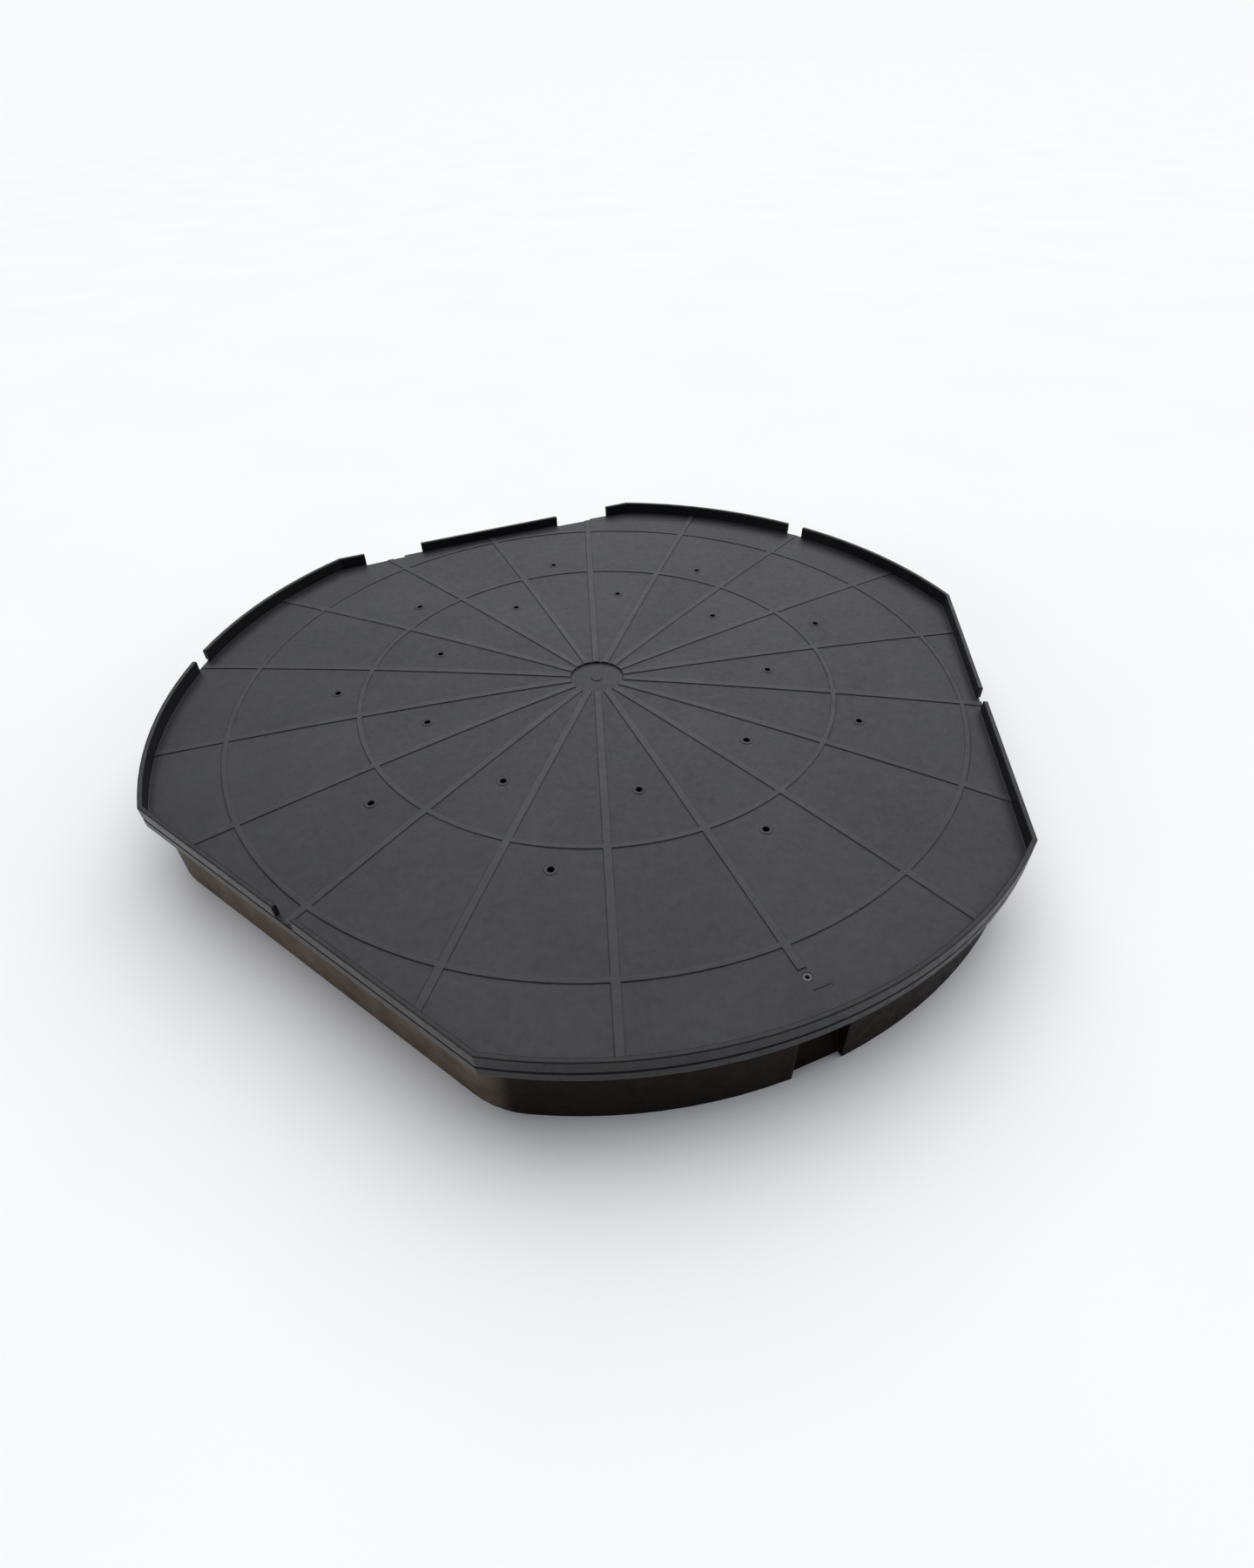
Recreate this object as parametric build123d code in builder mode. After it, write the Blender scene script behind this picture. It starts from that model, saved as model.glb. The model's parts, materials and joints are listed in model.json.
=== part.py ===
from build123d import *
import math
import os

# Hinged manhole cover: a moulded plastic tray lid with an upstanding rim, on a
# skirted frame with a round access neck. Millimetres, +Z up. The origin is the
# centre of the neck on the plane the frame stands on, and -Y is the front,
# where the finger pocket and the latch are. The hinge runs along the back flat.

# ---- overall ----
outline_radius = 400.0   # round stretches of the lid's outline
flat_depth = 45.0        # how deep each of the three flats cuts into the circle
flat_count = 3
total_height = 80.0      # ground plane to the top of the rim

# ---- lid ----
lid_corner = 3.0
rim_wall = 4.0
rim_face_height = 20.0   # outer face of the rim, down to the lip's lower edge
rim_edge = 0.7           # chamfer along the top of the rim
groove_drop = 10.5       # top of the rim to the line moulded round its face
groove_height = 2.5
groove_depth = 1.2
crown_drop = 1.5         # middle of the deck below the top of the rim
deck_fall = 12.0         # the deck falls this much from its middle to its edge
deck_thickness = 4.0
ridge_count = 18
ridge_width = 6.5
circle_width = 4.5
ridge_height = 0.8
inner_circle_radius = 220.0
circle_margin = 19.0     # outer moulded circle, inside the flats
hub_radius = 25.0
hub_recess = 1.4
hub_pip_radius = 5.5
hub_pip_height = 0.7
hub_boss_depth = 10.0
vent_radius = 2.75
vent_count = 9
inner_vent_ring = 163.0
outer_vent_ring = 243.5
vent_pad_width = 2.5
scupper_width = 20.0
rib_width = 3.5
rib_depth = 34.0         # middle of the deck to the lower edge of the deep ribs
seal_bead_width = 3.0
shelf_rib_gap = 2.0      # shallow ribs above the shelf

# ---- frame ----
skirt_inset = 8.0        # skirt face behind the rim's face
skirt_wall = 4.0
skirt_corner = 75.0
seat_width = 47.0        # shelf between the skirt and the neck, at a flat
seat_gap = 1.0           # the lip's lower edge above the shelf
seat_thickness = 4.0
neck_wall = 4.0
web_count = 18
web_thickness = 4.0
web_lift = 8.0
anchor_count = 6
anchor_margin = 45.0     # anchor holes outside the neck
anchor_hole_radius = 5.5
anchor_boss_radius = 15.0
anchor_head_radius = 11.5
anchor_head_depth = 10.0

# ---- finger pocket, in the front of the skirt ----
pocket_width = 40.0
pocket_depth = 16.0
pocket_foot_depth = 5.0
pocket_mouth_depth = 5.0
pocket_slope_height = 20.0   # where the back starts to slope, below the shelf's top
pocket_wall = 3.0

# ---- seal ----
seal_inset = 14.0
seal_width = 6.0
seal_height = 3.2

# ---- hinge ----
gap_centre = 121.0       # middle of each gap in the rim, either side of the centre
gap_width = 68.0
gap_setback = 6.0        # edge of the deck cut back beside each knuckle
axis_drop = 28.0         # hinge axis below the top of the rim
axis_out = 3.0           # hinge axis behind the back flat
barrel_radius = 7.5
open_angle = 100.0       # the stop heel meets the skirt here
stop_width = 6.0
stop_gap = 0.3
lid_knuckle_length = 22.0
frame_knuckle_length = 20.0
knuckle_gap = 1.0
gusset_height = 28.0
pin_radius = 4.0
pin_fit = 0.05           # radial clearance of the pin in the lid's knuckle
pin_grip = 0.02          # and in the frame's knuckle
pin_point = 1.0

# ---- latch ----
latch_setback = 1.0      # slot in the shelf, behind the finger pocket's back wall
spindle_radius = 3.25
spindle_fit = 0.05
socket_across = 3.0
socket_depth = 3.0
collar_radius = 6.5
collar_height = 1.6
latch_play = 0.2
lug_reach = 9.0          # stop lug on the collar, turning in a quarter of the boss
lug_width = 3.0
latch_boss_radius = 12.0
bush_radius = 7.0
bush_height = 3.8
roof_thickness = 2.5     # deck left above the collar
seal_ring_radius = 0.5
seal_ring_drop = 1.25
shank_across = 4.4
shank_fit = 0.1
cam_length = 26.0
cam_width = 12.0
cam_thickness = 3.0
cam_gap = 0.6            # cam below the keeper when it is turned in
cam_side_gap = 2.0
keeper_thickness = 2.0
keeper_width = 20.0
keeper_margin = 2.0      # plate left beyond the screw heads
stud_radius = 2.0
washer_radius = 4.5
washer_thickness = 0.8
nut_across = 7.0
nut_height = 3.2
stud_end = 1.4
screw_radius = 1.9
screw_head_radius = 3.5
screw_head_height = 1.8
screw_spacing = 12.0
screw_edge = 6.0

mark_length = 14.0       # short line beside the spindle: latch unlocked
mark_width = 2.0
mark_offset = 11.0
mark_side = 5.0
mark_depth = 1.0

# ---- worked out ----
overlap = 0.5            # how far joined features run into each other
reach = outline_radius + 10
flat_distance = outline_radius - flat_depth
outer_circle_radius = flat_distance - circle_margin
lip_z = total_height - rim_face_height
crown_z = total_height - crown_drop
seat_z = lip_z - seat_gap
rib_z = crown_z - rib_depth - deck_thickness
dome_radius = (outline_radius**2 + deck_fall**2) / (2 * deck_fall)
skirt_distance = flat_distance - skirt_inset
skirt_front = outline_radius - skirt_inset
neck_radius = skirt_distance - seat_width
anchor_radius = neck_radius + anchor_margin
deep_rib_radius = neck_radius - 2 * rim_wall
seal_top = seat_z + seal_height
seal_end = seal_inset + seal_width
bead_inset = seal_inset + (seal_width - seal_bead_width) / 2
contact_gap = 0.3        # lid above the seal and the shelf when it is shut
axis_y = flat_distance + axis_out
stop_length = axis_out + skirt_inset - stop_gap
axis_z = total_height - axis_drop
knuckle_span = lid_knuckle_length + knuckle_gap + frame_knuckle_length
cam_heel = cam_width / 2
latch_inset = skirt_inset + pocket_depth + pocket_wall + latch_setback + cam_side_gap + cam_heel
latch_y = latch_inset - outline_radius
keeper_z = seat_z - seat_thickness - keeper_thickness
cam_z = keeper_z - cam_gap - cam_thickness
slot_half = cam_heel + cam_side_gap
keeper_start = slot_half + overlap


def deck_level(radius):
    """Height of the deck's top face, a shallow dome, at a distance from the middle."""
    return crown_z - dome_radius + math.sqrt(dome_radius**2 - radius**2)


cavity_top = deck_level(-latch_y) - roof_thickness
collar_z = cavity_top - latch_play - collar_height
bush_z = collar_z - latch_play - bush_height
boss_z = bush_z - latch_play


def lobed_face(inset, corner):
    """Circle with three flats, drawn in by an inset, with rounded corners."""
    radius = outline_radius - inset
    flat = flat_distance - inset
    with BuildSketch() as face:
        Circle(radius)
        with PolarLocations(flat + radius / 2, flat_count, start_angle=90):
            Rectangle(radius, 2 * radius, mode=Mode.SUBTRACT)
        fillet(face.vertices(), corner)
    return face.sketch


def lobed_ring(outer_inset, inner_inset, corner):
    """Band between two insets of the lobed outline."""
    with BuildSketch() as ring:
        add(lobed_face(outer_inset, corner))
        add(lobed_face(inner_inset, corner), mode=Mode.SUBTRACT)
    return ring.sketch


def round_ring(middle_radius, width):
    """Plain round band of a width about a radius."""
    with BuildSketch() as ring:
        Circle(middle_radius + width / 2)
        Circle(middle_radius - width / 2, mode=Mode.SUBTRACT)
    return ring.sketch


def spoke_plan(spoke_width, ring_width, inset):
    """Radial bars and the two circles, as far out as an inset of the outline."""
    with BuildSketch() as plan:
        with PolarLocations(reach / 2, ridge_count, start_angle=180 / ridge_count):
            Rectangle(reach, spoke_width)
        add(round_ring(inner_circle_radius, ring_width))
        add(round_ring(outer_circle_radius, ring_width))
        add(lobed_face(inset, lid_corner), mode=Mode.INTERSECT)
        Circle(hub_radius, mode=Mode.SUBTRACT)
        # the front bar stops at the latch
        with Locations((0, latch_y + collar_radius)):
            Rectangle(2 * latch_boss_radius, reach, align=(Align.CENTER, Align.MAX), mode=Mode.SUBTRACT)
    return plan.sketch


def vent_plan(radius):
    """Two staggered rings of round vents, as discs of one radius."""
    with BuildSketch() as plan:
        with PolarLocations(inner_vent_ring, vent_count, start_angle=180 / vent_count):
            Circle(radius)
        with PolarLocations(outer_vent_ring, vent_count):
            Circle(radius)
    return plan.sketch


def dome_piece(low, high, plan):
    """Slice of the dome between two offsets from the deck's top, cut to a plan."""
    with BuildPart() as piece:
        with BuildSketch(Plane.XZ):
            with BuildLine():
                middle = deck_level(reach / 2)
                edge = deck_level(reach)
                top = ThreePointArc((0, crown_z + high), (reach / 2, middle + high), (reach, edge + high))
                bottom = ThreePointArc((0, crown_z + low), (reach / 2, middle + low), (reach, edge + low))
                Line(top @ 0, bottom @ 0)
                Line(top @ 1, bottom @ 1)
            make_face()
        revolve(axis=Axis.Z)
        with BuildSketch():
            add(plan)
        extrude(amount=2 * total_height, mode=Mode.INTERSECT)
    return piece.part


def stiffening_ribs():
    """Ribs under the deck: deep inside the neck, shallow where they pass the shelf."""
    shelf_rib_z = seat_z + shelf_rib_gap
    with BuildPart() as ribs:
        with BuildSketch(Plane.XZ):
            with BuildLine():
                lift = overlap - deck_thickness
                middle = deck_level(reach / 2) + lift
                edge = deck_level(reach) + lift
                top = ThreePointArc((0, crown_z + lift), (reach / 2, middle), (reach, edge))
                Polyline(
                    top @ 1,
                    (reach, shelf_rib_z),
                    (deep_rib_radius, shelf_rib_z),
                    (deep_rib_radius - rib_depth, rib_z),
                    (0, rib_z),
                    top @ 0,
                )
            make_face()
        revolve(axis=Axis.Z)
        with BuildSketch():
            add(spoke_plan(rib_width, rib_width, seal_end + contact_gap))
        extrude(amount=2 * total_height, mode=Mode.INTERSECT)
    return ribs.part


def knuckle_ends():
    """Right-hand end of each gap in the rim; both knuckle pairs face the same way."""
    return [middle + gap_width / 2 for middle in (-gap_centre, gap_centre)]


# ---- lid: one moulding ----
with BuildPart() as cover_tray:
    # rim, open at the scuppers and at the two hinge gaps
    with BuildSketch(Plane.XY.offset(deck_level(reach))):
        add(lobed_ring(0, rim_wall, lid_corner))
        for distance, angle in (
            (outline_radius, 30),
            (outline_radius, 150),
            (flat_distance, 210),
            (flat_distance, 330),
        ):
            with PolarLocations(distance, 1, start_angle=angle):
                Rectangle(4 * rim_wall, scupper_width, mode=Mode.SUBTRACT)
        with Locations((-gap_centre, flat_distance), (gap_centre, flat_distance)):
            Rectangle(gap_width, 4 * rim_wall, mode=Mode.SUBTRACT)
    extrude(amount=total_height - deck_level(reach))
    chamfer(cover_tray.edges().group_by(Axis.Z)[-1], rim_edge)
    # lip that hangs outside the frame
    with BuildSketch(Plane.XY.offset(lip_z)):
        add(lobed_ring(0, rim_wall, lid_corner))
    extrude(amount=deck_level(reach) - lip_z)
    # domed deck, its ridges and the pads round its vents
    add(dome_piece(-deck_thickness, 0, lobed_face(0, lid_corner)))
    add(dome_piece(-overlap, ridge_height, spoke_plan(ridge_width, circle_width, overlap)))
    add(dome_piece(-overlap, ridge_height / 2, vent_plan(vent_radius + vent_pad_width)))
    # line moulded round the outer face
    with BuildSketch(Plane.XY.offset(total_height - groove_drop - groove_height)):
        add(lobed_ring(-overlap, groove_depth, lid_corner))
    extrude(amount=groove_height, mode=Mode.SUBTRACT)
    # ribs, the bead that presses the seal, and the hub's boss
    add(stiffening_ribs())
    with BuildSketch(Plane.XY.offset(seal_top + contact_gap)):
        add(lobed_ring(bead_inset, bead_inset + seal_bead_width, skirt_corner))
    extrude(amount=deck_level(flat_distance) - deck_thickness - seal_top - contact_gap)
    with BuildSketch(Plane.XY.offset(crown_z - hub_boss_depth)):
        Circle(hub_radius + rib_width)
    extrude(amount=hub_boss_depth - hub_recess)
    with BuildSketch(Plane.XY.offset(crown_z - hub_recess)):
        Circle(hub_radius)
    extrude(amount=2 * hub_recess, mode=Mode.SUBTRACT)
    with BuildSketch(Plane.XY.offset(crown_z - hub_recess - overlap)):
        Circle(hub_pip_radius)
    extrude(amount=hub_pip_height + overlap)
    # vents
    with BuildSketch():
        add(vent_plan(vent_radius))
    extrude(amount=total_height, mode=Mode.SUBTRACT)
    # hinge: the deck's edge set back beside each knuckle, then the knuckles
    for end in knuckle_ends():
        cut_width = gap_width - lid_knuckle_length
        with BuildSketch():
            with Locations((end - gap_width + cut_width / 2, flat_distance)):
                Rectangle(cut_width, 2 * gap_setback)
        extrude(amount=total_height, mode=Mode.SUBTRACT)
        with BuildSketch(Plane.YZ.offset(end - lid_knuckle_length)):
            with Locations((axis_y, axis_z)):
                Circle(barrel_radius)
                Rectangle(stop_length, stop_width, rotation=open_angle, align=(Align.MAX, Align.MAX))
            with BuildLine():
                Polyline(
                    (flat_distance - rim_wall, axis_z),
                    (flat_distance - rim_wall, lip_z + overlap),
                    (flat_distance, lip_z + overlap),
                    (axis_y + barrel_radius, axis_z),
                    close=True,
                )
            make_face()
        extrude(amount=lid_knuckle_length)
        with BuildSketch(Plane.YZ.offset(end - lid_knuckle_length)):
            with Locations((axis_y, axis_z)):
                Circle(pin_radius + pin_fit)
        extrude(amount=lid_knuckle_length, mode=Mode.SUBTRACT)
    # latch: a boss, its cavity for the collar and bush, the hole to the deck and the mark
    with BuildSketch(Plane.XY.offset(boss_z)):
        with Locations((0, latch_y)):
            Circle(latch_boss_radius)
    extrude(amount=cavity_top - boss_z)
    with BuildSketch(Plane.XY.offset(seat_z)):
        with Locations((0, latch_y)):
            Circle(lug_reach + stop_gap)
        lug_clearance = lug_width / 2 + stop_gap
        with Locations((-lug_clearance, latch_y - lug_clearance)):
            Rectangle(reach, reach, align=(Align.MIN, Align.MIN), mode=Mode.INTERSECT)
        with Locations((0, latch_y)):
            Circle(bush_radius)
    extrude(amount=cavity_top - seat_z, mode=Mode.SUBTRACT)
    with BuildSketch(Plane.XY.offset(seat_z)):
        with Locations((0, latch_y)):
            Circle(spindle_radius + seal_ring_radius / 2)
    extrude(amount=total_height, mode=Mode.SUBTRACT)
    with BuildSketch(Plane.XY.offset(deck_level(-latch_y) - mark_depth)):
        with Locations((mark_side, latch_y - mark_offset)):
            Rectangle(mark_length, mark_width)
    extrude(amount=total_height, mode=Mode.SUBTRACT)
cover_tray.part.label = "cover_tray"

# ---- frame: one moulding, open underneath between its webs ----
with BuildPart() as frame:
    with BuildSketch():
        add(lobed_ring(skirt_inset, skirt_inset + skirt_wall, skirt_corner))
    extrude(amount=seat_z)
    with BuildSketch(Plane.XY.offset(seat_z - seat_thickness)):
        add(lobed_face(skirt_inset, skirt_corner))
        Circle(neck_radius, mode=Mode.SUBTRACT)
    extrude(amount=seat_thickness)
    with BuildSketch():
        add(round_ring(neck_radius + neck_wall / 2, neck_wall))
    extrude(amount=seat_z)
    with BuildSketch(Plane.XY.offset(web_lift)):
        with PolarLocations(reach / 2, web_count):
            Rectangle(reach, web_thickness)
        add(lobed_face(skirt_inset + overlap, skirt_corner), mode=Mode.INTERSECT)
        Circle(neck_radius + overlap, mode=Mode.SUBTRACT)
    extrude(amount=seat_z - web_lift - overlap)
    with BuildSketch():
        with PolarLocations(anchor_radius, anchor_count):
            Circle(anchor_boss_radius)
    extrude(amount=seat_z - overlap)
    with BuildSketch():
        with PolarLocations(anchor_radius, anchor_count):
            Circle(anchor_hole_radius)
    extrude(amount=seat_z, mode=Mode.SUBTRACT)
    with BuildSketch(Plane.XY.offset(seat_z - anchor_head_depth)):
        with PolarLocations(anchor_radius, anchor_count):
            Circle(anchor_head_radius)
    extrude(amount=anchor_head_depth, mode=Mode.SUBTRACT)
    # finger pocket: a closed box behind the skirt, then its hollow
    with BuildSketch(Plane.YZ.offset(-pocket_width / 2 - pocket_wall)):
        with BuildLine():
            Polyline(
                (overlap - skirt_front, 0),
                (pocket_foot_depth + pocket_wall - skirt_front, 0),
                (pocket_depth + pocket_wall - skirt_front, seat_z - pocket_slope_height),
                (pocket_depth + pocket_wall - skirt_front, seat_z - overlap),
                (overlap - skirt_front, seat_z - overlap),
                close=True,
            )
        make_face()
    extrude(amount=pocket_width + 2 * pocket_wall)
    with BuildSketch(Plane.YZ.offset(-pocket_width / 2)):
        with BuildLine():
            Polyline(
                (-skirt_front - skirt_wall, -overlap),
                (pocket_foot_depth - skirt_front, -overlap),
                (pocket_foot_depth - skirt_front, 0),
                (pocket_depth - skirt_front, seat_z - pocket_slope_height),
                (pocket_depth - skirt_front, seat_z - seat_thickness),
                (pocket_mouth_depth - skirt_front, seat_z - seat_thickness),
                (pocket_mouth_depth - skirt_front, seat_z + overlap),
                (-skirt_front - skirt_wall, seat_z + overlap),
                close=True,
            )
        make_face()
    extrude(amount=pocket_width, mode=Mode.SUBTRACT)
    # slot in the shelf that lets the latch's cam through
    with BuildSketch(Plane.XY.offset(seat_z - seat_thickness)):
        slot_length = cam_length + cam_heel + 2 * cam_side_gap
        with Locations((0, latch_y - cam_heel - cam_side_gap + slot_length / 2)):
            Rectangle(2 * slot_half, slot_length)
    extrude(amount=seat_thickness, mode=Mode.SUBTRACT)
    # pilot holes for the keeper's screws
    with BuildSketch(Plane.XY.offset(seat_z - seat_thickness)):
        with Locations((keeper_start + cam_length + screw_edge, latch_y + screw_edge)):
            with GridLocations(0, screw_spacing, 1, 2):
                Circle(screw_radius)
    extrude(amount=seat_thickness, mode=Mode.SUBTRACT)
    # hinge knuckles on gussets behind the skirt
    for end in knuckle_ends():
        with BuildSketch(Plane.YZ.offset(end - knuckle_span)):
            with Locations((axis_y, axis_z)):
                Circle(barrel_radius)
            with BuildLine():
                Polyline(
                    (skirt_distance - overlap, axis_z - gusset_height),
                    (skirt_distance - overlap, axis_z + overlap),
                    (axis_y, axis_z + overlap),
                    (axis_y + barrel_radius, axis_z),
                    close=True,
                )
            make_face()
        extrude(amount=frame_knuckle_length)
        with BuildSketch(Plane.YZ.offset(end - knuckle_span)):
            with Locations((axis_y, axis_z)):
                Circle(pin_radius + pin_grip)
        extrude(amount=frame_knuckle_length, mode=Mode.SUBTRACT)
frame.part.label = "frame"

# ---- seal: a flat rubber strip lying on the shelf ----
with BuildPart() as cover_seal:
    with BuildSketch(Plane.XY.offset(seat_z)):
        add(lobed_ring(seal_inset, seal_end, skirt_corner))
    extrude(amount=seal_height)
cover_seal.part.label = "cover_seal"


# ---- hinge pins: held in the frame's knuckles, free in the lid's ----
def hinge_pin(end):
    """Steel pin through one knuckle pair, pointed at both ends."""
    with BuildPart() as pin:
        with BuildSketch(Plane.YZ.offset(end - knuckle_span)):
            with Locations((axis_y, axis_z)):
                Circle(pin_radius)
        extrude(amount=knuckle_span)
        chamfer(pin.edges().filter_by(GeomType.CIRCLE), pin_point)
    return pin


hinge_pin_left, hinge_pin_right = [hinge_pin(end) for end in knuckle_ends()]
hinge_pin_left.part.label = "hinge_pin_left"
hinge_pin_right.part.label = "hinge_pin_right"

# ---- latch spindle: key socket, collar, square shank and threaded end ----
with BuildPart() as latch_spindle:
    top_z = deck_level(-latch_y)
    shoulder_z = cam_z + cam_thickness
    stud_z = cam_z - washer_thickness - nut_height - stud_end
    with BuildSketch(Plane.XY.offset(shoulder_z)):
        with Locations((0, latch_y)):
            Circle(spindle_radius)
    extrude(amount=top_z - shoulder_z)
    with BuildSketch(Plane.XY.offset(collar_z)):
        with Locations((0, latch_y)):
            Circle(collar_radius)
            Rectangle(lug_width, lug_reach, align=(Align.CENTER, Align.MIN))
    extrude(amount=collar_height)
    with BuildSketch(Plane.XY.offset(cam_z)):
        with Locations((0, latch_y)):
            Rectangle(shank_across, shank_across)
    extrude(amount=cam_thickness)
    with BuildSketch(Plane.XY.offset(stud_z)):
        with Locations((0, latch_y)):
            Circle(stud_radius)
    extrude(amount=cam_z - stud_z)
    with BuildSketch(Plane.XY.offset(top_z - socket_depth)):
        with Locations((0, latch_y)):
            RegularPolygon(socket_across / 2, 6, major_radius=False)
    extrude(amount=socket_depth, mode=Mode.SUBTRACT)
    # groove for the seal ring, in the part of the spindle inside the deck
    with Locations((0, latch_y, top_z - seal_ring_drop)):
        Torus(spindle_radius - seal_ring_radius / 2, seal_ring_radius, mode=Mode.SUBTRACT)
latch_spindle.part.label = "latch_spindle"

# ---- ring that seals the spindle in the deck ----
with BuildPart() as spindle_seal:
    with Locations((0, latch_y, deck_level(-latch_y) - seal_ring_drop)):
        Torus(spindle_radius - seal_ring_radius / 2, seal_ring_radius - 2 * pin_grip)
spindle_seal.part.label = "spindle_seal"

# ---- bush pressed into the boss from below, under the spindle's collar ----
with BuildPart() as spindle_bush:
    with BuildSketch(Plane.XY.offset(bush_z)):
        with Locations((0, latch_y)):
            Circle(bush_radius - pin_grip)
            Circle(spindle_radius + spindle_fit, mode=Mode.SUBTRACT)
    extrude(amount=bush_height)
spindle_bush.part.label = "spindle_bush"

# ---- cam: a steel tongue on the square shank, shown unlocked, pointing inwards ----
with BuildPart() as latch_cam:
    with BuildSketch(Plane.XY.offset(cam_z)):
        with Locations((0, latch_y)):
            Circle(cam_heel)
        with Locations((0, latch_y + cam_length / 2 - cam_heel / 2)):
            Rectangle(cam_width, cam_length - cam_heel)
        with Locations((0, latch_y + cam_length - cam_heel)):
            Circle(cam_heel)
        with Locations((0, latch_y)):
            Rectangle(shank_across + shank_fit, shank_across + shank_fit, mode=Mode.SUBTRACT)
    extrude(amount=cam_thickness)
latch_cam.part.label = "latch_cam"

with BuildPart() as latch_washer:
    with BuildSketch(Plane.XY.offset(cam_z - washer_thickness)):
        with Locations((0, latch_y)):
            Circle(washer_radius)
            Circle(stud_radius + shank_fit, mode=Mode.SUBTRACT)
    extrude(amount=washer_thickness)
latch_washer.part.label = "latch_washer"

with BuildPart() as latch_nut:
    with BuildSketch(Plane.XY.offset(cam_z - washer_thickness - nut_height)):
        with Locations((0, latch_y)):
            RegularPolygon(nut_across / 2, 6, major_radius=False)
            Circle(stud_radius + pin_grip, mode=Mode.SUBTRACT)
    extrude(amount=nut_height)
latch_nut.part.label = "latch_nut"

# ---- keeper: a wear plate under the shelf, beside the slot, for the cam to turn under ----
keeper_length = cam_length + screw_edge + screw_head_radius + keeper_margin
screw_x = keeper_start + cam_length + screw_edge
screw_y = latch_y + screw_edge
with BuildPart() as keeper_plate:
    with BuildSketch(Plane.XY.offset(keeper_z)):
        with Locations((keeper_start + keeper_length / 2, latch_y + screw_edge)):
            Rectangle(keeper_length, keeper_width)
        with Locations((screw_x, screw_y)):
            with GridLocations(0, screw_spacing, 1, 2):
                Circle(screw_radius + shank_fit, mode=Mode.SUBTRACT)
    extrude(amount=keeper_thickness)
keeper_plate.part.label = "keeper_plate"

with BuildPart() as keeper_screws:
    with BuildSketch(Plane.XY.offset(keeper_z - screw_head_height)):
        with Locations((screw_x, screw_y)):
            with GridLocations(0, screw_spacing, 1, 2):
                Circle(screw_head_radius)
    extrude(amount=screw_head_height)
    with BuildSketch(Plane.XY.offset(keeper_z)):
        with Locations((screw_x, screw_y)):
            with GridLocations(0, screw_spacing, 1, 2):
                Circle(screw_radius - pin_grip)
    extrude(amount=keeper_thickness + seat_thickness)
keeper_screws.part.label = "keeper_screws"

# ---- files, one for each piece ----
os.makedirs("parts", exist_ok=True)
export_step(cover_tray.part, "parts/cover_tray.step")
export_step(frame.part, "parts/frame.step")
export_step(cover_seal.part, "parts/cover_seal.step")
export_step(hinge_pin_left.part, "parts/hinge_pin_left.step")
export_step(hinge_pin_right.part, "parts/hinge_pin_right.step")
export_step(latch_spindle.part, "parts/latch_spindle.step")
export_step(spindle_seal.part, "parts/spindle_seal.step")
export_step(spindle_bush.part, "parts/spindle_bush.step")
export_step(latch_cam.part, "parts/latch_cam.step")
export_step(latch_washer.part, "parts/latch_washer.step")
export_step(latch_nut.part, "parts/latch_nut.step")
export_step(keeper_plate.part, "parts/keeper_plate.step")
export_step(keeper_screws.part, "parts/keeper_screws.step")
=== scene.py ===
import json
import math

import bmesh
import bpy
from mathutils import Matrix, Vector


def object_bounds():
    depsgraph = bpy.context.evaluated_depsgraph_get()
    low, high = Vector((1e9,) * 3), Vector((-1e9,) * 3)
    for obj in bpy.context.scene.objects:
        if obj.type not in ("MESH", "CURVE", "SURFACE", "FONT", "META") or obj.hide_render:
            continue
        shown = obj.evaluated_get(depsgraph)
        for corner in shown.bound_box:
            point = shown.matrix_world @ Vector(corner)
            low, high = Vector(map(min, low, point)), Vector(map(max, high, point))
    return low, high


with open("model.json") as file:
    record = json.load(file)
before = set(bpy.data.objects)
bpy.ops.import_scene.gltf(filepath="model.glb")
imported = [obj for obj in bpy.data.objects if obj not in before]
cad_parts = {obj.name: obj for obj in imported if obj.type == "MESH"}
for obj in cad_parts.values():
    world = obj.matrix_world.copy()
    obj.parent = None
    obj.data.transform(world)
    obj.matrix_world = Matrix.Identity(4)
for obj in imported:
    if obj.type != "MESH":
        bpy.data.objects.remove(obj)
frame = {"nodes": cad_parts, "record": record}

CAD_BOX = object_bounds()
NODES = frame["nodes"]
MM = 0.001

# the lid's deck: top of its dome, how fast that falls away, and the sizes that its tones follow, in metres
CROWN = CAD_BOX[1].z - 1.5 * MM
DOME_FALL = 12 * MM / 0.4 ** 2
RIM_TOP = CAD_BOX[1].z
INNER_CIRCLE = 0.220
BAR_COUNT = 18
FLAT_START, FLAT_END = 0.335, 0.345
FLAT_SIDES = (90, 210, 330)

# settings that several nodes share, and where a colour mix has its factor, its two colours and its result
SMOOTH = {"interpolation_type": "SMOOTHSTEP"}
COLOUR = {"data_type": "RGBA"}
FACTOR, FIRST, SECOND, MIXED = 0, 6, 7, 2


# ---------------------------------------------------------------- materials

def linear(code):
    """sRGB hex colour as linear RGBA."""
    values = [int(code[i:i + 2], 16) / 255 for i in (1, 3, 5)]
    return [v / 12.92 if v <= 0.04045 else ((v + 0.055) / 1.055) ** 2.4 for v in values] + [1.0]


def per_metre(size_mm):
    """Pattern scale that gives features of this size, for Object coordinates in metres."""
    return 1000.0 / size_mm


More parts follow.
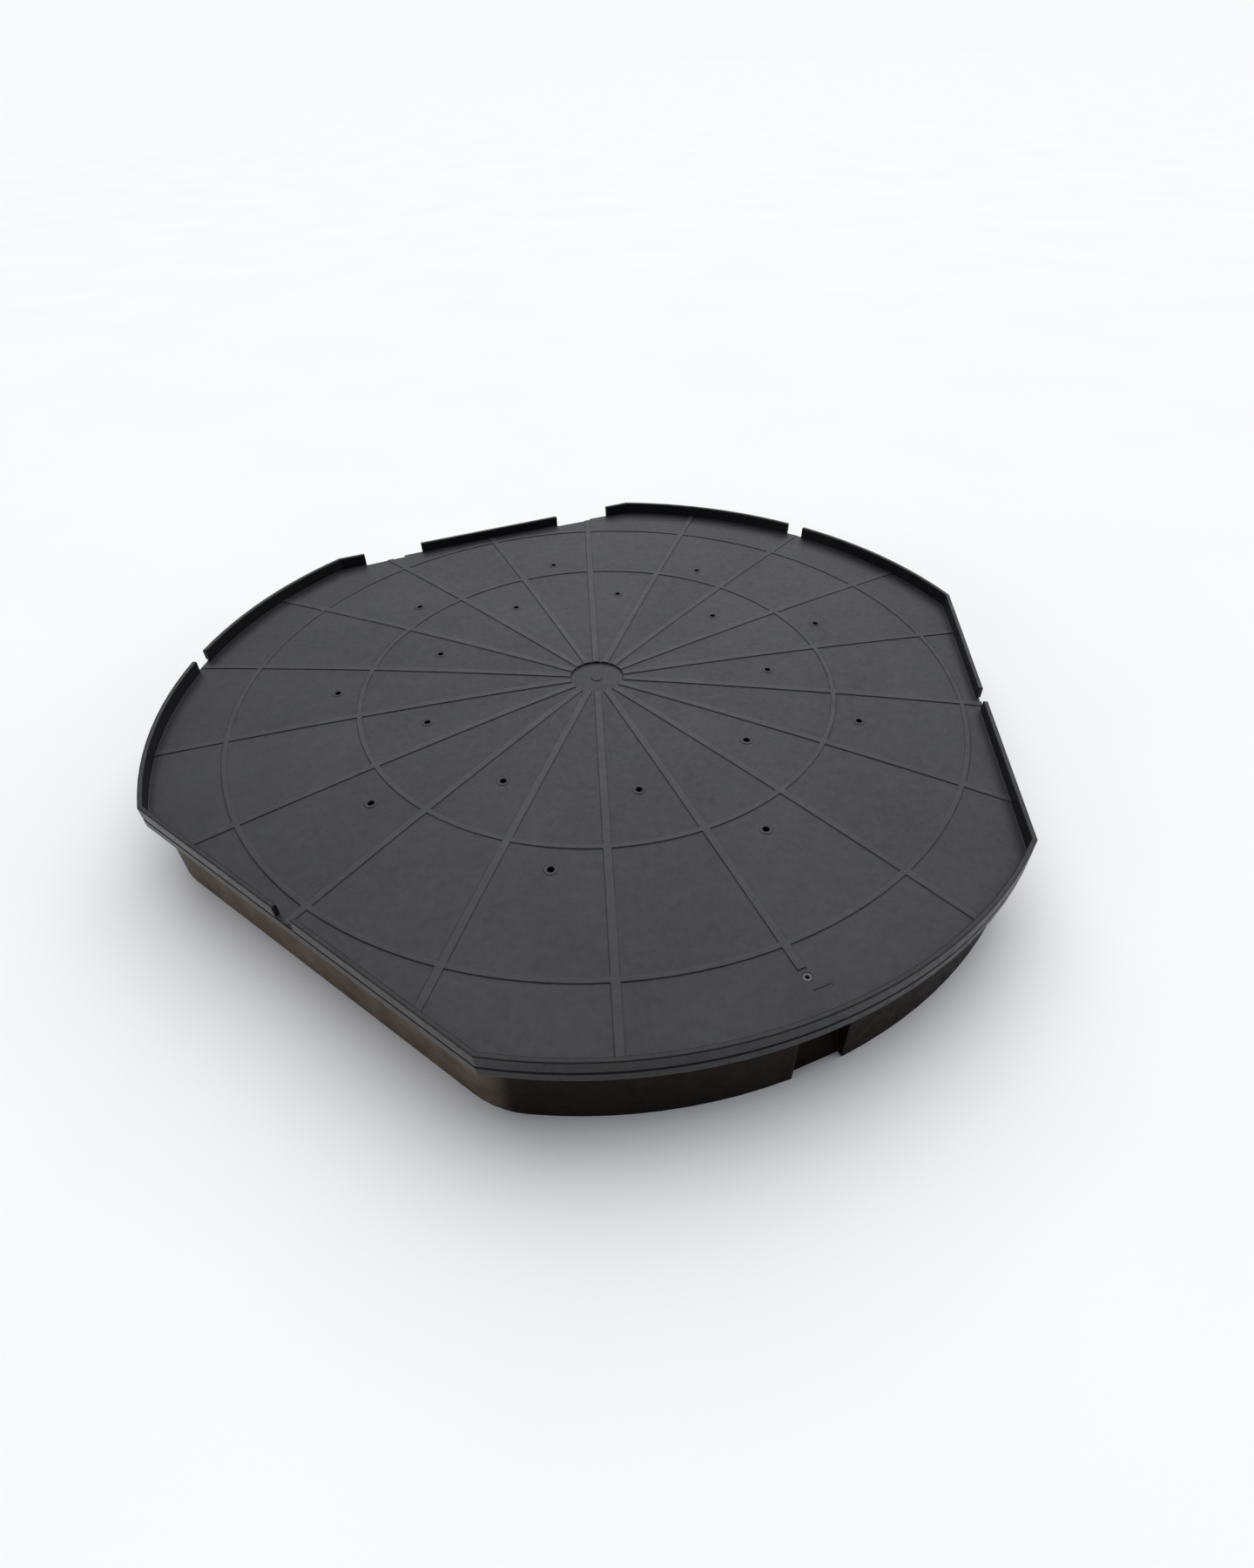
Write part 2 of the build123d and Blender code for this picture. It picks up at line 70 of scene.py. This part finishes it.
def node(tree, kind, inputs=(), **settings):
    """Adds a node with its settings and links, and gives its outputs.

    inputs are in the node's own order, or a dict by name or place; each is a socket to link or a value.
    """
    made = tree.nodes.new(kind)
    for name, value in settings.items():
        setattr(made, name, value)
    for place, value in inputs.items() if isinstance(inputs, dict) else enumerate(inputs):
        if isinstance(value, bpy.types.NodeSocket):
            tree.links.new(value, made.inputs[place])
        else:
            made.inputs[place].default_value = value
    return made.outputs


def new_material(name, metallic=0.0, ior=None):
    """Material with a Principled surface; returns it with its tree and shader."""
    material = bpy.data.materials.new(name)
    material.use_nodes = True
    tree = material.node_tree
    shader = tree.nodes["Principled BSDF"]
    shader.inputs["Metallic"].default_value = metallic
    if ior:
        shader.inputs["IOR"].default_value = ior
    return material, tree, shader


def flat_sides(tree, where, facing):
    """1 on the outside of the three flat sides, where painted sheen is laid."""
    total = 0.0
    for angle in FLAT_SIDES:
        turn = math.radians(angle)
        out = (math.cos(turn), math.sin(turn), 0.0)
        turned = node(tree, "ShaderNodeVectorMath", (facing, out), operation="DOT_PRODUCT")["Value"]
        far = node(tree, "ShaderNodeVectorMath", (where, out), operation="DOT_PRODUCT")["Value"]
        square_on = node(tree, "ShaderNodeMapRange", (turned, 0.90, 0.995), **SMOOTH)["Result"]
        outside = node(tree, "ShaderNodeMapRange", (far, FLAT_START, FLAT_END), **SMOOTH)["Result"]
        side = node(tree, "ShaderNodeMath", (square_on, outside), operation="MULTIPLY")["Value"]
        total = node(tree, "ShaderNodeMath", (total, side), operation="MAXIMUM")["Value"]
    return total


def walked_deck(tree, where, facing, tint, tones, moulded, dull):
    """Colour and roughness of a lid whose top face is greyed by rain and feet, inside its rim."""
    place = node(tree, "ShaderNodeSeparateXYZ", (where,))
    lift = node(tree, "ShaderNodeVectorMath", (facing, (0.0, 0.0, 1.0)), operation="DOT_PRODUCT")["Value"]
    up = node(tree, "ShaderNodeMapRange", (lift, 0.75, 0.95), **SMOOTH)["Result"]
    below_rim = node(tree, "ShaderNodeMapRange",
                     (place["Z"], RIM_TOP - 0.55 * MM, RIM_TOP - 0.25 * MM, 1.0, 0.0),
                     **SMOOTH)["Result"]
    top_face = node(tree, "ShaderNodeMath", (up, below_rim), operation="MULTIPLY")["Value"]
    # height with the dome's fall added back, so bars and circles stand clear of the panels everywhere
    level = node(tree, "ShaderNodeVectorMath", (where, (1.0, 1.0, 0.0)), operation="MULTIPLY")["Vector"]
    out = node(tree, "ShaderNodeVectorMath", (level,), operation="LENGTH")["Value"]
    squared = node(tree, "ShaderNodeMath", (out, 2.0), operation="POWER")["Value"]
    height = node(tree, "ShaderNodeMath", (squared, DOME_FALL, place["Z"]),
                  operation="MULTIPLY_ADD")["Value"]
    raised = node(tree, "ShaderNodeMapRange", (height, CROWN + 0.25 * MM, CROWN + 0.65 * MM),
                  **SMOOTH)["Result"]
    # painted shade: each panel between the bars is darkened a little at random, standing in for light
    # falling differently on panels warped slightly in cooling
    turn = node(tree, "ShaderNodeMath", (place["Y"], place["X"]), operation="ARCTAN2")["Value"]
    step = node(tree, "ShaderNodeMath", (turn, BAR_COUNT / math.tau, 0.5),
                operation="MULTIPLY_ADD")["Value"]
    panel = node(tree, "ShaderNodeMath", (step,), operation="FLOOR")["Value"]
    band = node(tree, "ShaderNodeMath", (out, INNER_CIRCLE), operation="GREATER_THAN")["Value"]
    cell = node(tree, "ShaderNodeCombineXYZ", (panel, band))["Vector"]
    chance = node(tree, "ShaderNodeTexWhiteNoise", {"Vector": cell}, noise_dimensions="2D")["Value"]
    painted_panel_shade = node(tree, "ShaderNodeMapRange", (chance, 0.0, 1.0, 0.82, 1.0))["Result"]
    painted_panel_shade = node(tree, "ShaderNodeMath", (painted_panel_shade, raised), operation="MAXIMUM")["Value"]
    mix = node(tree, "ShaderNodeMapRange", (tint, 0.34, 0.66))["Result"]
    greyed = node(tree, "ShaderNodeMix", {FACTOR: mix, FIRST: linear(tones[0]), SECOND: linear(tones[1])},
                  **COLOUR)[MIXED]
    greyed = node(tree, "ShaderNodeMix", {FACTOR: 1.0, FIRST: greyed, SECOND: painted_panel_shade},
                  **COLOUR, blend_type="MULTIPLY")[MIXED]
    # bars and circles are walked on first, so they are rubbed paler, most of all near the middle
    wear = node(tree, "ShaderNodeMapRange", (out, 0.06, 0.36, 0.08, 0.02), **SMOOTH)["Result"]
    polish = node(tree, "ShaderNodeMath", (raised, wear), operation="MULTIPLY")["Value"]
    greyed = node(tree, "ShaderNodeMix", {FACTOR: polish, FIRST: greyed, SECOND: linear("#77777c")},
                  **COLOUR)[MIXED]
    colour = node(tree, "ShaderNodeMix", {FACTOR: top_face, FIRST: moulded, SECOND: greyed},
                  **COLOUR)[MIXED]
    return colour, node(tree, "ShaderNodeMath", (top_face, 0.10, dull), operation="MULTIPLY_ADD")["Value"]


# the pale colour for the flats and how strongly it is laid on are painted sheen; the same colour also draws
# the rubbed edge line
def moulded_plastic(name, tones, sheen_and_rub_colour, painted_sheen_strength, grain_mm, roughness, gloss, edge_light, deck=None):
    """Injection-moulded polypropylene.

    tones and deck are each a dark and a pale tone, and deck is for the lid's greyed top.
    """
    material, tree, shader = new_material(name, ior=1.49)
    shader.inputs["Specular IOR Level"].default_value = gloss
    source = node(tree, "ShaderNodeTexCoord")
    where, facing = source["Object"], source["Normal"]
    # cloudy flow over 90 mm, and pigment over 14 mm
    cloud = node(tree, "ShaderNodeTexNoise", {"Vector": where, "Scale": per_metre(90), "Detail": 4.0,
                                              "Roughness": 0.55})["Fac"]
    fleck = node(tree, "ShaderNodeTexNoise", {"Vector": where, "Scale": per_metre(14), "Detail": 5.0,
                                              "Roughness": 0.6})["Fac"]
    tint = node(tree, "ShaderNodeMix", {0: 0.4, 2: cloud, 3: fleck}, data_type="FLOAT")[0]
    mix = node(tree, "ShaderNodeMapRange", (tint, 0.36, 0.64))["Result"]
    colour = node(tree, "ShaderNodeMix", {FACTOR: mix, FIRST: linear(tones[0]), SECOND: linear(tones[1])},
                  **COLOUR)[MIXED]
    # the mould's polish varies over 7 mm
    patchy = node(tree, "ShaderNodeTexNoise", {"Vector": where, "Scale": per_metre(7), "Detail": 6.0,
                                               "Roughness": 0.7})["Fac"]
    dull = node(tree, "ShaderNodeMapRange", (patchy, 0.35, 0.7, *roughness), **SMOOTH)["Result"]
    if deck:
        colour, dull = walked_deck(tree, where, facing, tint, deck, colour, dull)
    # painted sheen on the flats, standing in for side light caught on them, broken into 30 mm patches
    sheen_noise = node(tree, "ShaderNodeTexNoise", {"Vector": where, "Scale": per_metre(30), "Detail": 6.0,
                                             "Roughness": 0.65})["Fac"]
    sheen_patches = node(tree, "ShaderNodeMapRange", (sheen_noise, 0.3, 0.65, 0.55 * painted_sheen_strength, painted_sheen_strength),
                   **SMOOTH)["Result"]
    flat_sheen_mask = node(tree, "ShaderNodeMath", (flat_sides(tree, where, facing), sheen_patches),
                   operation="MULTIPLY")["Value"]
    colour = node(tree, "ShaderNodeMix", {FACTOR: flat_sheen_mask, FIRST: colour, SECOND: linear(sheen_and_rub_colour)},
                  **COLOUR)[MIXED]
    # a pale rubbed line on the edges, broken over 22 mm
    # an edge is where the rounded normal leaves the real one
    rounded = node(tree, "ShaderNodeBevel", {"Radius": 1.3 * MM}, samples=8)["Normal"]
    real = node(tree, "ShaderNodeNewGeometry")["Normal"]
    same = node(tree, "ShaderNodeVectorMath", (rounded, real), operation="DOT_PRODUCT")["Value"]
    edge = node(tree, "ShaderNodeMapRange", (same, 1.0, 0.667, 0.0, 1.0))["Result"]
    gaps = node(tree, "ShaderNodeTexNoise", {"Vector": where, "Scale": per_metre(22), "Detail": 3.0})["Fac"]
    broken = node(tree, "ShaderNodeMapRange", (gaps, 0.42, 0.62, 0.15 * edge_light, edge_light),
                  **SMOOTH)["Result"]
    rub = node(tree, "ShaderNodeMath", (edge, broken), operation="MULTIPLY")["Value"]
    colour = node(tree, "ShaderNodeMix", {FACTOR: rub, FIRST: colour, SECOND: linear(sheen_and_rub_colour)},
                  **COLOUR)[MIXED]
    tree.links.new(colour, shader.inputs["Base Color"])
    tree.links.new(dull, shader.inputs["Roughness"])
    # gentle sink waves over 45 mm, and on them the spark-eroded grain
    # the real grain is about 0.1 mm, too fine to show at this size, so it is drawn coarser, at grain_mm
    sink = node(tree, "ShaderNodeTexNoise", {"Vector": where, "Scale": per_metre(45), "Detail": 2.0})["Fac"]
    waves = node(tree, "ShaderNodeBump", {"Height": sink, "Normal": rounded, "Strength": 0.35,
                                          "Distance": 0.6 * MM})["Normal"]
    spark = node(tree, "ShaderNodeTexNoise", {"Vector": where, "Scale": per_metre(grain_mm),
                                              "Detail": 2.0})["Fac"]
    grain = node(tree, "ShaderNodeBump", {"Height": spark, "Normal": waves, "Strength": 0.4,
                                          "Distance": 0.08 * MM})["Normal"]
    tree.links.new(grain, shader.inputs["Normal"])
    return material


# Black polypropylene, injection moulded. It gives the eye an even satin black, with a deck greyed and
# dulled by weather and feet, panels darkened a little at random as painted shade, paler bars, edges rubbed
# pale in places, and painted sheen in patches on the outer flats.
lid_plastic = moulded_plastic(
    "black_moulded_polypropylene", ("#0d0d0e", "#161617"), "#6a6764", painted_sheen_strength=0.3,
    grain_mm=1.6, roughness=(0.38, 0.50), gloss=0.32, edge_light=0.22, deck=("#27272b", "#323236"))

# Polypropylene, moulded. It gives the eye a duller black than the lid's, with a brown tint that is a
# painted reflection of a brown ground, nearly black in the shade, and painted sheen in patches on the
# flats.
frame_plastic = moulded_plastic(
    "black_moulded_polypropylene_painted_brown_reflection", ("#0e0803", "#1a1008"), "#857463", painted_sheen_strength=0.5,
    grain_mm=1.8, roughness=(0.46, 0.60), gloss=0.06, edge_light=0.18)


def moulded_rubber():
    """EPDM rubber, moulded. It gives the eye a matt black with a grey bloom and a fine pebble."""
    material, tree, shader = new_material("moulded_epdm_rubber", ior=1.52)
    where = node(tree, "ShaderNodeTexCoord")["Object"]
    bloom = node(tree, "ShaderNodeTexNoise", {"Vector": where, "Scale": per_metre(8), "Detail": 5.0,
                                              "Roughness": 0.65})["Fac"]
    mix = node(tree, "ShaderNodeMapRange", (bloom, 0.35, 0.7))["Result"]
    colour = node(tree, "ShaderNodeMix", {FACTOR: mix, FIRST: linear("#161616"), SECOND: linear("#2b2a29")},
                  **COLOUR)[MIXED]
    tree.links.new(colour, shader.inputs["Base Color"])
    dull = node(tree, "ShaderNodeMapRange", (bloom, 0.3, 0.7, 0.68, 0.86))["Result"]
    tree.links.new(dull, shader.inputs["Roughness"])
    pebble = node(tree, "ShaderNodeTexNoise", {"Vector": where, "Scale": per_metre(0.9)})["Fac"]
    bump = node(tree, "ShaderNodeBump", {"Height": pebble, "Strength": 0.5,
                                         "Distance": 0.08 * MM})["Normal"]
    tree.links.new(bump, shader.inputs["Normal"])
    return material


def turned_steel():
    """Stainless steel, turned. It gives the eye a bright pin with tool rings and slight staining."""
    material, tree, shader = new_material("turned_stainless_steel", metallic=1.0)
    where = node(tree, "ShaderNodeTexCoord")["Object"]
    stain = node(tree, "ShaderNodeTexNoise", {"Vector": where, "Scale": per_metre(3), "Detail": 5.0})["Fac"]
    mix = node(tree, "ShaderNodeMapRange", (stain, 0.3, 0.7))["Result"]
    colour = node(tree, "ShaderNodeMix", {FACTOR: mix, FIRST: linear("#b9b7b2"), SECOND: linear("#d8d7d3")},
                  **COLOUR)[MIXED]
    tree.links.new(colour, shader.inputs["Base Color"])
    # the tool's rings lie 0.1 mm apart on the pin, too fine to show, so they are drawn coarser, at 0.5 mm
    along_pin = node(tree, "ShaderNodeMapping", {"Vector": where, "Scale": (6.0, 1.0, 1.0)})["Vector"]
    rings = node(tree, "ShaderNodeTexNoise", {"Vector": along_pin, "Scale": per_metre(3)})["Fac"]
    dull = node(tree, "ShaderNodeMapRange", (rings, 0.3, 0.7, 0.2, 0.36))["Result"]
    tree.links.new(dull, shader.inputs["Roughness"])
    bump = node(tree, "ShaderNodeBump", {"Height": rings, "Strength": 0.3, "Distance": 0.02 * MM})["Normal"]
    tree.links.new(bump, shader.inputs["Normal"])
    return material


def dull_nylon():
    """Glass-filled nylon, moulded. It gives the eye a dull dark grey with faint pale fibres."""
    material, tree, shader = new_material("moulded_glass_filled_nylon", ior=1.53)
    where = node(tree, "ShaderNodeTexCoord")["Object"]
    # real fibres are 0.01 mm thick, too fine to show, so they are drawn coarser, at 0.8 mm
    flow = node(tree, "ShaderNodeMapping", {"Vector": where, "Scale": (1.0, 0.3, 1.0)})["Vector"]
    fibre = node(tree, "ShaderNodeTexNoise", {"Vector": flow, "Scale": per_metre(0.8),
                                              "Detail": 4.0})["Fac"]
    mix = node(tree, "ShaderNodeMapRange", (fibre, 0.35, 0.7))["Result"]
    colour = node(tree, "ShaderNodeMix", {FACTOR: mix, FIRST: linear("#38383c"), SECOND: linear("#55555a")},
                  **COLOUR)[MIXED]
    tree.links.new(colour, shader.inputs["Base Color"])
    dull = node(tree, "ShaderNodeMapRange", (fibre, 0.3, 0.7, 0.42, 0.6))["Result"]
    tree.links.new(dull, shader.inputs["Roughness"])
    rounded = node(tree, "ShaderNodeBevel", {"Radius": 0.5 * MM}, samples=6)["Normal"]
    bump = node(tree, "ShaderNodeBump", {"Height": fibre, "Normal": rounded, "Strength": 0.3,
                                         "Distance": 0.04 * MM})["Normal"]
    tree.links.new(bump, shader.inputs["Normal"])
    return material


def plated_steel():
    """Pressed steel, zinc plated. It gives the eye a dulled blue-white in soft clouds with some spangle."""
    material, tree, shader = new_material("zinc_plated_pressed_steel", metallic=1.0)
    where = node(tree, "ShaderNodeTexCoord")["Object"]
    clouds = node(tree, "ShaderNodeTexNoise", {"Vector": where, "Scale": per_metre(5),
                                               "Detail": 5.0})["Fac"]
    mix = node(tree, "ShaderNodeMapRange", (clouds, 0.3, 0.7))["Result"]
    zinc = node(tree, "ShaderNodeMix", {FACTOR: mix, FIRST: linear("#9fa3a6"), SECOND: linear("#c3c6c6")},
                **COLOUR)[MIXED]
    spangle = node(tree, "ShaderNodeTexVoronoi", {"Vector": where, "Scale": per_metre(2.5)})["Color"]
    zinc = node(tree, "ShaderNodeMix", {FACTOR: 0.12, FIRST: zinc, SECOND: spangle},
                **COLOUR, blend_type="MULTIPLY")[MIXED]
    tree.links.new(zinc, shader.inputs["Base Color"])
    dull = node(tree, "ShaderNodeMapRange", (clouds, 0.3, 0.7, 0.34, 0.52))["Result"]
    tree.links.new(dull, shader.inputs["Roughness"])
    pits = node(tree, "ShaderNodeTexNoise", {"Vector": where, "Scale": per_metre(0.7),
                                             "Detail": 3.0})["Fac"]
    bump = node(tree, "ShaderNodeBump", {"Height": pits, "Strength": 0.3, "Distance": 0.03 * MM})["Normal"]
    tree.links.new(bump, shader.inputs["Normal"])
    return material


def machined_acetal():
    """Acetal, machined. It gives the eye a slightly waxy off-white, greyed by grease."""
    material, tree, shader = new_material("machined_acetal", ior=1.48)
    where = node(tree, "ShaderNodeTexCoord")["Object"]
    grease = node(tree, "ShaderNodeTexNoise", {"Vector": where, "Scale": per_metre(4),
                                               "Detail": 4.0})["Fac"]
    mix = node(tree, "ShaderNodeMapRange", (grease, 0.35, 0.65))["Result"]
    colour = node(tree, "ShaderNodeMix", {FACTOR: mix, FIRST: linear("#8f8c80"), SECOND: linear("#d6d3c8")},
                  **COLOUR)[MIXED]
    tree.links.new(colour, shader.inputs["Base Color"])
    dull = node(tree, "ShaderNodeMapRange", (grease, 0.3, 0.7, 0.28, 0.45))["Result"]
    tree.links.new(dull, shader.inputs["Roughness"])
    cut = node(tree, "ShaderNodeTexNoise", {"Vector": where, "Scale": per_metre(0.5)})["Fac"]
    bump = node(tree, "ShaderNodeBump", {"Height": cut, "Strength": 0.3, "Distance": 0.03 * MM})["Normal"]
    tree.links.new(bump, shader.inputs["Normal"])
    return material


FINISHES = {
    "lid_plastic": lid_plastic,
    "frame_plastic": frame_plastic,
    "seal_rubber": moulded_rubber(),
    "stainless_steel": turned_steel(),
    "spindle_nylon": dull_nylon(),
    "plated_steel": plated_steel(),
    "bush_plastic": machined_acetal(),
}

for part in frame["record"]["subparts"]:
    for place in NODES[part["node"]].material_slots:
        place.material = FINISHES[part["material_slot"]]


# ---------------------------------------------------------------- floor, light, camera

def pale_floor():
    """Wide pale sheet that the frame stands on."""
    mesh = bpy.data.meshes.new("floor")
    sheet = bmesh.new()
    bmesh.ops.create_grid(sheet, x_segments=1, y_segments=1, size=60.0)
    sheet.to_mesh(mesh)
    sheet.free()
    floor = bpy.data.objects.new("floor", mesh)
    bpy.context.scene.collection.objects.link(floor)
    # White paper, matt. It gives the eye an even pale ground with hardly any tone.
    material, tree, shader = new_material("matt_white_paper")
    where = node(tree, "ShaderNodeTexCoord")["Object"]
    tone = node(tree, "ShaderNodeTexNoise", {"Vector": where, "Scale": per_metre(300)})["Fac"]
    mix = node(tree, "ShaderNodeMapRange", (tone, 0.3, 0.7))["Result"]
    colour = node(tree, "ShaderNodeMix", {FACTOR: mix, FIRST: linear("#f5f5f4"), SECOND: linear("#f7f7f6")},
                  **COLOUR)[MIXED]
    tree.links.new(colour, shader.inputs["Base Color"])
    shader.inputs["Roughness"].default_value = 0.95
    mesh.materials.append(material)


def soft_sun(name, azimuth, elevation, strength, spread, colour="#ffffff"):
    """Even light from a patch of a given width in degrees; azimuth 0 comes from +X, 90 from the back."""
    data = bpy.data.lights.new(name, "SUN")
    data.energy = strength
    data.angle = math.radians(spread)
    data.color = linear(colour)[:3]
    light = bpy.data.objects.new(name, data)
    bpy.context.scene.collection.objects.link(light)
    turn, lift = math.radians(azimuth), math.radians(elevation)
    source = Vector((math.cos(turn) * math.cos(lift), math.sin(turn) * math.cos(lift), math.sin(lift)))
    light.rotation_mode = "QUATERNION"
    light.rotation_quaternion = (-source).to_track_quat("-Z", "Y")


pale_floor()
soft_sun("back_overhead", 62, 60, 2.6, 80)
soft_sun("left", 182, 16, 0.5, 40)
soft_sun("right", 345, 20, 0.5, 40)

world = bpy.data.worlds.new("pale_room")
world.use_nodes = True
room = world.node_tree
background = room.nodes["Background"]
background.inputs["Color"].default_value = linear("#e4e9f8")
background.inputs["Strength"].default_value = 0.28
seen = node(room, "ShaderNodeBackground", {"Color": linear("#f8fafc"), "Strength": 1.0})[0]
by_camera = node(room, "ShaderNodeLightPath")["Is Camera Ray"]
either = node(room, "ShaderNodeMixShader", (by_camera, background.outputs[0], seen))[0]
room.links.new(either, room.nodes["World Output"].inputs["Surface"])
bpy.context.scene.world = world
bpy.context.scene.view_settings.view_transform = "Standard"

# close to the cover with a wide lens, looking down at the front left
CAMERA_PLACE = (-0.2271, -0.6115, 0.5203)
CAMERA_TURN = -22.67
CAMERA_DOWN = 41.59
CAMERA_ROLL = -1.35
LENS_MM = 18.95

lens = bpy.data.cameras.new("camera")
lens.lens = LENS_MM
lens.sensor_width = 36.0
camera = bpy.data.objects.new("camera", lens)
bpy.context.scene.collection.objects.link(camera)
turn = Matrix.Rotation(math.radians(CAMERA_TURN), 4, "Z")
tilt = Matrix.Rotation(math.radians(90 - CAMERA_DOWN), 4, "X")
roll = Matrix.Rotation(math.radians(CAMERA_ROLL), 4, "Z")
camera.matrix_world = Matrix.Translation(CAMERA_PLACE) @ turn @ tilt @ roll
lens.clip_start = 0.01
bpy.context.scene.camera = camera
